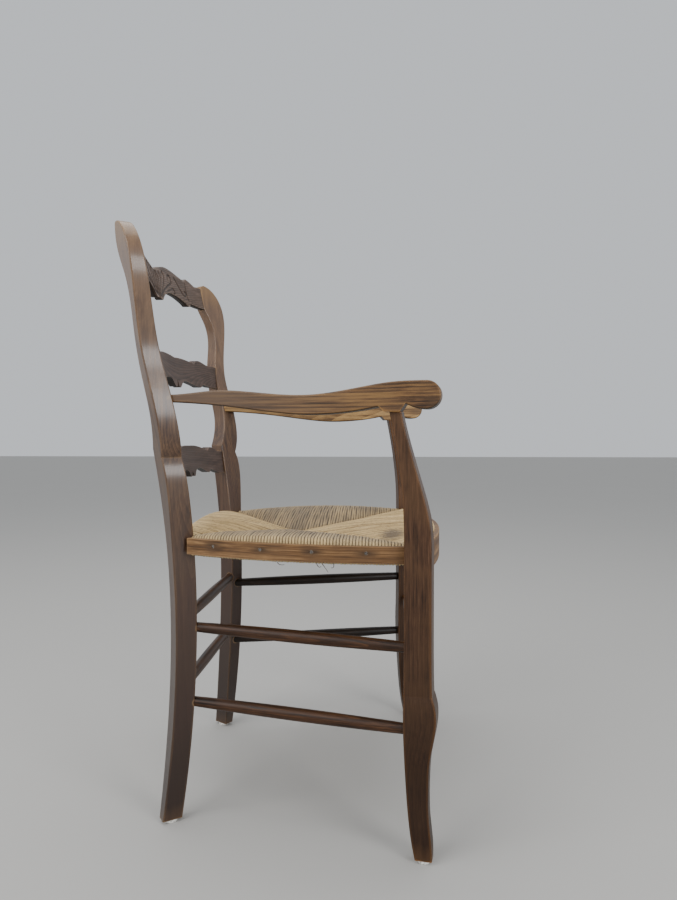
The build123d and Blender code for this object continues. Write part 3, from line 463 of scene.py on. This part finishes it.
def rushMaterial(look):
    material, tree = newTree(look["name"])
    cords = put(tree, "ShaderNodeUVMap", {"uv_map": "cords"})
    parts = put(tree, "ShaderNodeSeparateXYZ", links={0: cords})
    number = put(tree, "ShaderNodeMath", {"operation": "FLOOR"}, {0: parts.outputs["X"]})
    across = put(tree, "ShaderNodeMath", {"operation": "FRACT"}, {0: parts.outputs["X"]})
    chance = put(tree, "ShaderNodeTexWhiteNoise", {"noise_dimensions": "1D"}, {"W": number})
    reedPlace = put(tree, "ShaderNodeCombineXYZ", links={0: parts.outputs["X"], 1: parts.outputs["Y"]})
    # reeds 1.2 mm wide
    drawn = put(tree, "ShaderNodeMapping", {"Scale": (5.0, 0.22, 1.0)}, {"Vector": reedPlace})
    reed = put(tree, "ShaderNodeTexNoise", {"Scale": 1.0, "Detail": 4.0, "Roughness": 0.6}, {"Vector": drawn})
    place = put(tree, "ShaderNodeTexCoord").outputs["Object"]
    patch = put(tree, "ShaderNodeTexNoise", {"Scale": 1 / (look["patchMm"] * mm), "Detail": 3.0},
                {"Vector": place})
    chancePart = put(tree, "ShaderNodeMath", {"operation": "MULTIPLY", 1: rushShares["chance"]},
                     {0: chance.outputs["Value"]})
    reedPart = put(tree, "ShaderNodeMath", {"operation": "MULTIPLY_ADD", 1: rushShares["reed"]},
                   {0: reed.outputs["Fac"], 2: chancePart})
    tone = put(tree, "ShaderNodeMath", {"operation": "MULTIPLY_ADD", 1: rushShares["patch"]},
               {0: patch.outputs["Fac"], 2: reedPart})
    straw = put(tree, "ShaderNodeValToRGB", {"stops": look["straw"]}, {"Fac": tone})
    rimward = put(tree, "ShaderNodeAttribute", {"attribute_name": "rimward"}).outputs["Fac"]
    rimPart = put(tree, "ShaderNodeMath", {"operation": "MULTIPLY"}, {0: rimward, 1: reed.outputs["Fac"]})
    fresh = put(tree, "ShaderNodeMix", {"data_type": "RGBA", "blend_type": "MIX", 7: linear(look["rim"])},
                {0: rimPart, 6: straw.outputs["Color"]})
    # flecks: torn and knotted reed, about 2 mm by 6 mm
    torn = put(tree, "ShaderNodeMapping", {"Scale": (2.4, 1.7, 1.0)}, {"Vector": reedPlace})
    fleck = put(tree, "ShaderNodeTexNoise", {"Scale": 1.0, "Detail": 3.0, "Roughness": 0.65},
                {"Vector": torn})
    fleckPart = put(tree, "ShaderNodeMapRange",
                    {"From Min": 0.53, "From Max": 0.68, "To Min": 0.0, "To Max": look["fleckShare"]},
                    {"Value": fleck.outputs["Fac"]})
    fresh = put(tree, "ShaderNodeMix", {"data_type": "RGBA", "blend_type": "MIX", 7: linear(look["fleck"])},
                {0: fleckPart, 6: fresh.outputs[2]})
    # twist: lines that lean across each cord, one for each turn
    lean = put(tree, "ShaderNodeMath", {"operation": "MULTIPLY_ADD", 1: 0.8},
               {0: across, 2: parts.outputs["Y"]})
    turn = put(tree, "ShaderNodeMath", {"operation": "MULTIPLY", 1: 2 * math.pi / twistCm}, {0: lean})
    twist = put(tree, "ShaderNodeMath", {"operation": "SINE"}, {0: turn})
    # painted shade and dirt in the grooves between cords, and the worn place by the front of the sitter's
    # right side
    middle = put(tree, "ShaderNodeMath", {"operation": "SUBTRACT", 1: 0.5}, {0: across})
    away = put(tree, "ShaderNodeMath", {"operation": "ABSOLUTE"}, {0: middle})
    groove = put(tree, "ShaderNodeMapRange",
                 {"From Min": 0.24, "From Max": 0.5, "To Min": 0.0, "To Max": rushShares["groove"]},
                 {"Value": away})
    grooveShadeAndDirt = put(tree, "ShaderNodeMix", {"data_type": "RGBA", "blend_type": "MIX", 7: linear(look["groove"])},
                {0: groove, 6: fresh.outputs[2]})
    wornPlace = put(tree, "ShaderNodeMapping", {"Location": look["wornAt"], "Scale": look["wornScale"]},
                    {"Vector": place})
    wornBall = put(tree, "ShaderNodeTexGradient", {"gradient_type": "SPHERICAL"}, {"Vector": wornPlace})
    wornUneven = put(tree, "ShaderNodeMath", {"operation": "MULTIPLY"},
                     {0: wornBall.outputs["Fac"], 1: fleck.outputs["Fac"]})
    wornShare = put(tree, "ShaderNodeMapRange",
                    {"From Min": 0.08, "From Max": 0.34, "To Max": look["wornShare"]},
                    {"Value": wornUneven})
    worn = put(tree, "ShaderNodeMix", {"data_type": "RGBA", "blend_type": "MIX", 7: linear(look["worn"])},
               {0: wornShare, 6: grooveShadeAndDirt.outputs[2]})
    reliefHeight = put(tree, "ShaderNodeMath", {"operation": "MULTIPLY_ADD", 1: rushShares["twist"]},
                       {0: twist, 2: reed.outputs["Fac"]})
    relief = put(tree, "ShaderNodeBump", {"Strength": 0.5, "Distance": 0.0007}, {"Height": reliefHeight})
    shader = put(tree, "ShaderNodeBsdfPrincipled",
                 {"Roughness": 0.72, "IOR": 1.45, "Sheen Weight": 0.08, "Sheen Roughness": 0.5},
                 {"Base Color": worn.outputs[2], "Normal": relief})
    put(tree, "ShaderNodeOutputMaterial", links={"Surface": shader})
    return material


# Twisted rush: dry reed with a dull gloss, straw on new turns and grey-brown where it is handled
wornLook = {"worn": "#4a3e33", "wornAt": (2.2, 5.9, 0.0), "wornScale": (14.0, 32.0, 0.0), "wornShare": 0.8}
# the groove colours are painted shade with dirt between the cords
sideRush = rushMaterial({
    **wornLook, "name": "twistedRushSide", "patchMm": 60.0, "groove": "#35291d", "rim": "#dcbf8a",
    "fleck": "#4f3f2d", "fleckShare": 0.55,
    "straw": [(0.40, "#6c5b42"), (0.56, "#907a58"), (0.68, "#a98f64"), (0.84, "#c5a772")]})
endRush = rushMaterial({
    **wornLook, "name": "twistedRushEnd", "patchMm": 50.0, "groove": "#4d3b26", "rim": "#e2c694",
    "fleck": "#6b5232", "fleckShare": 0.8,
    "straw": [(0.40, "#937948"), (0.54, "#bb9c66"), (0.66, "#cfb078"), (0.82, "#e2c591")]})

# Loose reed: the same, dry and dark with dust
reedLook = {"name": "looseDryReed", "dark": "#2c2620", "dust": "#4b4035", "dustMm": 1 / 0.6}
looseReed, tree = newTree(reedLook["name"])
place = put(tree, "ShaderNodeTexCoord").outputs["Object"]
dust = put(tree, "ShaderNodeTexNoise", {"Scale": 1 / (reedLook["dustMm"] * mm), "Detail": 2.0},
           {"Vector": place})
dusty = put(tree, "ShaderNodeValToRGB", {"stops": [(0.35, reedLook["dark"]), (0.65, reedLook["dust"])]},
            {"Fac": dust.outputs["Fac"]})
reedShader = put(tree, "ShaderNodeBsdfPrincipled", {"Roughness": 0.7}, {"Base Color": dusty.outputs[0]})
put(tree, "ShaderNodeOutputMaterial", links={"Surface": reedShader})

sideCentre, sideRadius = arcCircle(sideArc)
frontCentre, frontRadius = arcCircle(frontArc)
sideRadius, frontRadius = sideRadius - rush["stripInset"], frontRadius - rush["stripInset"]
centreX, centreY = rush["centre"]
rearX, rearY = rush["rearCorner"]
frontX, frontY = rush["frontCorner"]


def sideRim(y):
    return sideCentre[0] - np.sqrt(sideRadius ** 2 - (y - sideCentre[1]) ** 2)


def sideSeam(y):
    return np.interp(y, [frontY, centreY, rearY], [-frontX, centreX, -rearX])


def frontRim(x):
    return frontCentre[1] - np.sqrt(frontRadius ** 2 - (x - frontCentre[0]) ** 2)


for side, name, seed in ((1, "rushRight", 11), (-1, "rushLeft", 22)):
    cordField(name, (frontY, rearY), sideRim, sideSeam, {"rim": 0.008, "field": 0.005}, 1.0,
              lambda at, rimAt, inward, height, side=side:
              np.stack([side * (rimAt + inward), at + 0 * inward, height], -1), seed, sideRush)
cordField("rushFront", (-frontX, frontX), frontRim,
          lambda x: np.interp(np.abs(x), [0, frontX], [centreY, frontY]),
          {"rim": 0.008, "field": 0.003}, 1.8,
          lambda at, rimAt, inward, height: np.stack([at + 0 * inward, rimAt + inward, height], -1),
          33, endRush)
rearEnd = rearX + rush["rearPast"]
cordField("rushRear", (-rearEnd, rearEnd), lambda x: rush["rearEdge"] + 0 * x,
          lambda x: np.interp(np.abs(x), [0, rearX], [centreY, rearY]),
          {"rim": 0.013, "field": 0.004}, 1.8,
          lambda at, rimAt, inward, height: np.stack([at + 0 * inward, rimAt - inward, height], -1),
          44, endRush)

# Loose reeds: ends that have come out of the rush under the right strip, as thin tubes along bent lines
looseReeds = {
    "radius": 0.0006, "taper": 0.5, "steps": 15, "sides": 8,
    "aside": (0.3, 1.0, 0.2),  # a way that no reed takes, to measure its sides from
    "lines": [
        [(-0.262, -0.080, 0.4290), (-0.264, -0.0835, 0.4245), (-0.265, -0.0865, 0.4215),
         (-0.266, -0.0895, 0.4165)],
        [(-0.262, -0.072, 0.4290), (-0.264, -0.0735, 0.4240), (-0.266, -0.0775, 0.4228),
         (-0.267, -0.0790, 0.4262)],
        [(-0.262, -0.097, 0.4290), (-0.265, -0.0985, 0.4245), (-0.266, -0.0962, 0.4222),
         (-0.265, -0.0935, 0.4240)],
        [(-0.255, -0.013, 0.4290), (-0.258, -0.0140, 0.4262), (-0.261, -0.0200, 0.4255),
         (-0.262, -0.0240, 0.4270)],
    ],
}
around = np.linspace(0, 2 * np.pi, looseReeds["sides"] + 1)[:-1, None]
for number, line in enumerate(looseReeds["lines"]):
    line = np.array(line)
    # cubic from first to last point, drawn to the two between
    fine = np.linspace(0, 1, looseReeds["steps"])[:, None]
    weights = [(1 - fine) ** 3, 3 * fine * (1 - fine) ** 2, 3 * fine ** 2 * (1 - fine), fine ** 3]
    path = sum(w * p for w, p in zip(weights, line))
    way = np.gradient(path, axis=0)
    way /= np.linalg.norm(way, axis=1, keepdims=True)
    side = np.cross(way, looseReeds["aside"])
    side /= np.linalg.norm(side, axis=1, keepdims=True)
    other = np.cross(way, side)
    thin = looseReeds["radius"] * (1 - looseReeds["taper"] * fine)[:, :, None]
    tube = path[:, None] + thin * (np.cos(around) * side[:, None] + np.sin(around) * other[:, None])
    reed = meshPiece("looseReed%d" % (number + 1), tube.reshape(-1, 3), ringFaces(*tube.shape[:2]))
    reed.data.materials.append(looseReed)
    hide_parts("rush_seat")
print("rush woven")

# Crest: a bowed board sawn to its outline and carved. Its front is worked out on a grid of places across it
# and heights between its two outlines, set back by the depth of the cuts, and its back follows at the
# board's thickness.
crest = {
    "height": 890.0, "end": 45.0, "halfWidth": 219.05, "endY": 219.8, "bow": 32.0, "lean": 0.2124,
    "thickness": 13.0, "tenon": 9.0, "bevelMm": 4.5, "bevelDepth": 2.0, "bevelReach": 200.0,
    "dirtDepth": 1.5, "dirtShare": 0.85,
    # columns across as far as the tenons' ends, and rows that stand closer from edgeFrom to the bevelled top
    "reachMm": 228, "stepMm": 1.5, "plainRows": 34, "edgeRows": 10, "edgeFrom": 0.85,
    "top": [[(0, 38), (12, 42), (29, 47), (58, 55), (116, 54), (154, 47)], [(154, 47), (163, 54)],
            [(163, 54), (178, 51), (195, 45)]],
    "under": [[(0, -3), (6, -16)], [(6, -16), (13, -18), (25, -11), (50, 2), (85, 6), (119, 3), (142, -3)],
              [(142, -3), (151, -6), (160, 1.5)], [(160, 1.5), (195, 0)]],
    # carved lines on each half: points across and up from the end's underside, then the cut's width and depth
    "cuts": [
        ([(2, -1), (3, 12), (2, 26), (0, 34)], 2.2, 1.6),
        ([(4, -8), (9, 4), (12, 16), (10, 27), (4, 35)], 2.4, 1.8),
        ([(8, -10), (17, 4), (24, 16), (27, 28), (22, 38)], 2.4, 1.8),
        ([(22, 38), (17, 30), (15, 20)], 2.0, 1.4),
        ([(14, -10), (27, 3), (37, 15), (46, 26), (49, 36), (43, 42)], 2.6, 1.9),
        ([(43, 42), (36, 37), (33, 28)], 2.0, 1.4),
        ([(22, -6), (38, 6), (54, 14), (70, 22), (84, 32), (80, 41), (70, 40), (68, 33)], 2.6, 1.8),
        ([(52, 6), (66, 10), (80, 16), (90, 17), (94, 11), (88, 8)], 2.2, 1.5),
        ([(102, 44), (112, 36), (124, 24), (134, 16), (144, 14), (148, 20), (142, 24)], 2.4, 1.6),
        ([(153, 43), (151, 30), (152, 16), (155, 8)], 2.2, 1.5),
    ],
}


# Natural cubic through points: second derivatives are solved from the spans, then each span is worked out
def throughPoints(points, x):
    px, py = np.array(points, float).T
    if len(px) == 2:
        return np.interp(x, px, py)
    span, slope = np.diff(px), np.diff(py) / np.diff(px)
    bend = np.zeros(len(px))
    system = np.diag(2 * (span[:-1] + span[1:])) + np.diag(span[1:-1], 1) + np.diag(span[1:-1], -1)
    bend[1:-1] = np.linalg.solve(system, 6 * np.diff(slope))
    k = np.clip(np.searchsorted(px, x) - 1, 0, len(span) - 1)
    ahead, past = px[k + 1] - x, x - px[k]
    return ((bend[k] * ahead ** 3 + bend[k + 1] * past ** 3) / (6 * span[k])
            + (py[k] / span[k] - bend[k] * span[k] / 6) * ahead
            + (py[k + 1] / span[k] - bend[k + 1] * span[k] / 6) * past)


def outlineAt(curves, x, endValue):  # height of an outline at places across, the same on both halves
    x = np.abs(x)
    value = np.full_like(x, endValue)
    for curve in curves:
        inside = (x >= curve[0][0]) & (x <= curve[-1][0])
        value[inside] = throughPoints(curve, x[inside])
    return value


# Points of a carved line, drawn through its own points by their distance along it
def smoothLine(points, count=60):
    points = np.array(points, float)
    way = np.concatenate([[0], np.cumsum(np.linalg.norm(np.diff(points, axis=0), axis=1))])
    at = np.linspace(0, way[-1], count)
    return np.stack([throughPoints(list(zip(way, points[:, k])), at) for k in (0, 1)], -1)


radius = (crest["halfWidth"] ** 2 + crest["bow"] ** 2) / (2 * crest["bow"])
centreBack = crest["endY"] + crest["bow"] - radius
reach = math.asin(crest["halfWidth"] / radius) + crest["tenon"] / radius
corners = [x for curve in crest["top"] + crest["under"] for x in (curve[0][0], curve[-1][0])]
spots = np.arange(-crest["reachMm"], crest["reachMm"] + 1, crest["stepMm"])
angles = np.unique(np.concatenate([np.arcsin(spots / radius), np.arcsin(np.array(corners) / radius),
                                   -np.arcsin(np.array(corners) / radius), [-reach, reach]]))
angles = angles[(np.abs(angles) <= reach)][:, None]
up = np.concatenate([np.linspace(0, crest["edgeFrom"], crest["plainRows"]),
                     np.linspace(crest["edgeFrom"], 1, crest["edgeRows"])[1:]])[None, :]
acrossMm = radius * np.sin(angles) + 0 * up
lowLine, highLine = [outlineAt(crest[key], radius * np.sin(angles[:, 0]), end)[:, None]
                     for key, end in (("under", 0.0), ("top", crest["end"]))]
rise = lowLine + (highLine - lowLine) * up
cut = np.zeros_like(rise)
for line, width, depth in crest["cuts"]:
    path = smoothLine(line)
    gap = np.sqrt(np.min((np.abs(acrossMm)[..., None] - path[:, 0]) ** 2
                         + (rise[..., None] - path[:, 1]) ** 2, axis=-1))
    cut = np.maximum(cut, depth * np.maximum(0, 1 - (gap / width) ** 2))
edge = np.clip(1 - (highLine - rise) / crest["bevelMm"], 0, 1) * (np.abs(acrossMm) < crest["bevelReach"])
setBack = cut + crest["bevelDepth"] * edge
backAngles = angles + 0 * up
backX = (radius + crest["thickness"]) * np.sin(backAngles)
backLow, backHigh = [outlineAt(crest[key], backX[:, 0], end)[:, None]
                     for key, end in (("under", 0.0), ("top", crest["end"]))]
backRise = backLow + (backHigh - backLow) * up
lift = crest["lean"]
frontPoints = np.stack([(radius + setBack) * np.sin(backAngles),
                        centreBack + (radius + setBack) * np.cos(backAngles)
                        + lift * (rise - crest["end"] / 2), crest["height"] + rise], -1)
backPoints = np.stack([backX, centreBack + (radius + crest["thickness"]) * np.cos(backAngles)
                       + lift * (backRise - crest["end"] / 2), crest["height"] + backRise], -1)
section = np.concatenate([frontPoints, backPoints[:, ::-1]], axis=1)
carvedCrest = meshPiece("carvedCrest", section.reshape(-1, 3) * mm,
                        ringFaces(section.shape[0], section.shape[1]))
dirt = np.concatenate([np.clip(cut / crest["dirtDepth"], 0, 1) * crest["dirtShare"], np.zeros_like(backRise)],
                      axis=1).ravel()
carvedCrest.data.attributes.new("cut", "FLOAT", "POINT").data.foreach_set("value", dirt.astype(np.float32))
crestLook = dict(slatLook, name="carvedFruitwoodCrest", pith=(0.88, -0.20, 0.0), cut="#2a211c",
                 grain=[(0.36, "#3a2d26"), (0.46, "#54443a"), (0.54, "#645247"), (0.66, "#7b675b")],
                 wear="#a8947f", wearShare=0.8)
carvedCrest.data.materials.append(woodMaterial(crestLook))
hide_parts("crest_slat")
print("crest carved")

# Floor, light and camera
studio = {"floor": "#b6b4b0", "floorSize": 40.0, "sky": "#eaeef3", "skyStrength": 0.8,
          "camera": (-1.2875, -0.1671, 0.6160), "yaw": 3.51, "pitch": -1.11, "lens": 28.08}
floorMaterial, tree = newTree("palePaintedFloor")
place = put(tree, "ShaderNodeTexCoord").outputs["Object"]
cloud = put(tree, "ShaderNodeTexNoise", {"Scale": 1.5, "Detail": 3.0}, {"Vector": place})
pale = put(tree, "ShaderNodeMapRange", {"To Min": 0.75, "To Max": 0.9}, {"Value": cloud.outputs["Fac"]})
floorShader = put(tree, "ShaderNodeBsdfPrincipled", {"Base Color": linear(studio["floor"])},
                  {"Roughness": pale})
put(tree, "ShaderNodeOutputMaterial", links={"Surface": floorShader})
half = studio["floorSize"] / 2
floorMesh = bpy.data.meshes.new("floor")
floorMesh.from_pydata([(-half, -half, 0), (half, -half, 0), (half, half, 0), (-half, half, 0)], [],
                      [(0, 1, 2, 3)])
floor = bpy.data.objects.new("floor", floorMesh)
bpy.context.scene.collection.objects.link(floor)
floor.data.materials.append(floorMaterial)

world = bpy.data.worlds.new("softRoom")
world.use_nodes = True
world.node_tree.nodes["Background"].inputs["Color"].default_value = linear(studio["sky"])
world.node_tree.nodes["Background"].inputs["Strength"].default_value = studio["skyStrength"]
bpy.context.scene.world = world

lamps = {  # place, aim, size and power of each soft light
    "windowLight": ((-1.9, 2.0, 2.0), (0.0, 0.0, 0.55), 2.0, 50.0),
    "roomLight": ((-2.2, -2.3, 1.35), (-0.1, 0.1, 0.65), 1.1, 42.0),
    "ceilingLight": ((0.2, 0.3, 3.2), (0.0, 0.0, 0.0), 2.6, 40.0),
}
for name, (spot, aim, size, power) in lamps.items():
    light = bpy.data.lights.new(name, "AREA")
    light.size, light.energy = size, power
    lamp = bpy.data.objects.new(name, light)
    lamp.location = spot
    lamp.rotation_euler = (Vector(aim) - Vector(spot)).to_track_quat("-Z", "Y").to_euler()
    bpy.context.scene.collection.objects.link(lamp)

yaw, pitch = math.radians(studio["yaw"]), math.radians(studio["pitch"])
ahead = Vector((math.cos(yaw) * math.cos(pitch), math.sin(yaw) * math.cos(pitch), math.sin(pitch)))
lens = bpy.data.cameras.new("camera")
lens.lens, lens.sensor_width = studio["lens"], 36.0
camera = bpy.data.objects.new("camera", lens)
camera.location = studio["camera"]
camera.rotation_euler = ahead.to_track_quat("-Z", "Y").to_euler()
bpy.context.scene.collection.objects.link(camera)
bpy.context.scene.camera = camera
print("studio set")
